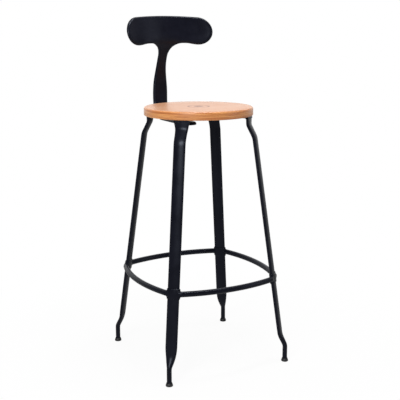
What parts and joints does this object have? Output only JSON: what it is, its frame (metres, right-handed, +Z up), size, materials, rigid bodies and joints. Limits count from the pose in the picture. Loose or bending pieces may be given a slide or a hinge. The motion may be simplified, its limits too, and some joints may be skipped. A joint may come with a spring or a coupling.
{
  "type": "bar stool",
  "caption": "Tall bar stool with a round wooden seat, splayed flat-oval steel legs with kicked-out feet, a bowed footrest ring and a pressed steel whale-tail back.",
  "frame": {"origin": "on the floor, under the middle of the whole stool seen from above; the seat's axis stands 29.5 mm in front of it", "axes": "+Z up; the sitter faces -Y and the back is on the +Y side; +X is right for someone who stands in front and looks at the stool"},
  "size_m": [0.416, 0.475, 1.008],
  "materials": {
    "seat_wood": "clear satin varnish",
    "black_steel": "satin black powder coat",
    "zinc_steel": "bright zinc plate",
    "foot_plastic": "matte black"
  },
  "bodies": {
    "root": {"seat_board": "seat_wood", "seat_plate": "black_steel", "leg_front_right": "black_steel", "footrest_collar_front_right": "black_steel", "foot_cap_front_right": "foot_plastic", "leg_rear_right": "black_steel", "footrest_collar_rear_right": "black_steel", "foot_cap_rear_right": "foot_plastic", "leg_rear_left": "black_steel", "footrest_collar_rear_left": "black_steel", "foot_cap_rear_left": "foot_plastic", "leg_front_left": "black_steel", "footrest_collar_front_left": "black_steel", "foot_cap_front_left": "foot_plastic", "footrest_bar_rear": "black_steel", "footrest_bar_left": "black_steel", "footrest_bar_front": "black_steel", "footrest_bar_right": "black_steel", "back_rest": "black_steel", "back_bolts": "zinc_steel", "back_washers": "zinc_steel", "back_spacers": "zinc_steel", "seat_inserts": "zinc_steel", "seat_screws": "zinc_steel"}
  },
  "joints": []
}
